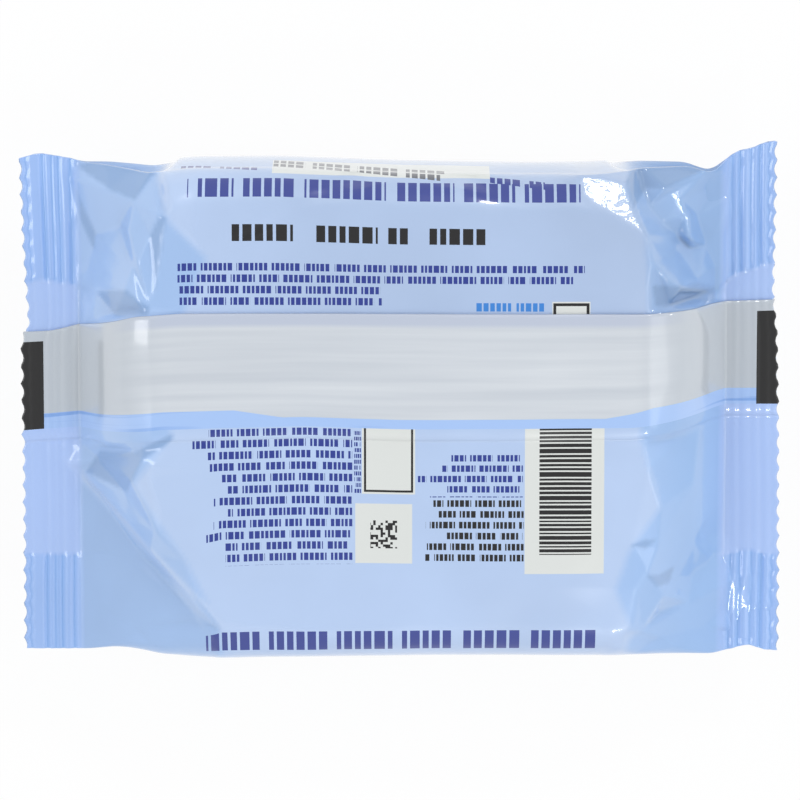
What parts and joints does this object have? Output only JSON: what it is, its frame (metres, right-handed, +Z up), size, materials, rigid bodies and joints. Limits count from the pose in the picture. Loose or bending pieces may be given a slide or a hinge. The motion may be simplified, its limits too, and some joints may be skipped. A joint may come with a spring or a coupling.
{
  "type": "wet wipes pack",
  "caption": "Sealed flow-wrap film pack of wet wipes, lying on its front, with a folded fin seal along the back and crimped, gusset-tucked end seals.",
  "frame": {"origin": "middle of the pack's bounding box, on the surface that it lies on", "axes": "+X along the pack from one crimped end seal to the other, +Y across it towards the fin seal's free edge, +Z up through the thickness"},
  "size_m": [0.1588, 0.108, 0.0444],
  "materials": {
    "printed_film": "glossy pale blue printed packaging film"
  },
  "bodies": {
    "root": {"sealed_pack": "printed_film"}
  },
  "joints": []
}
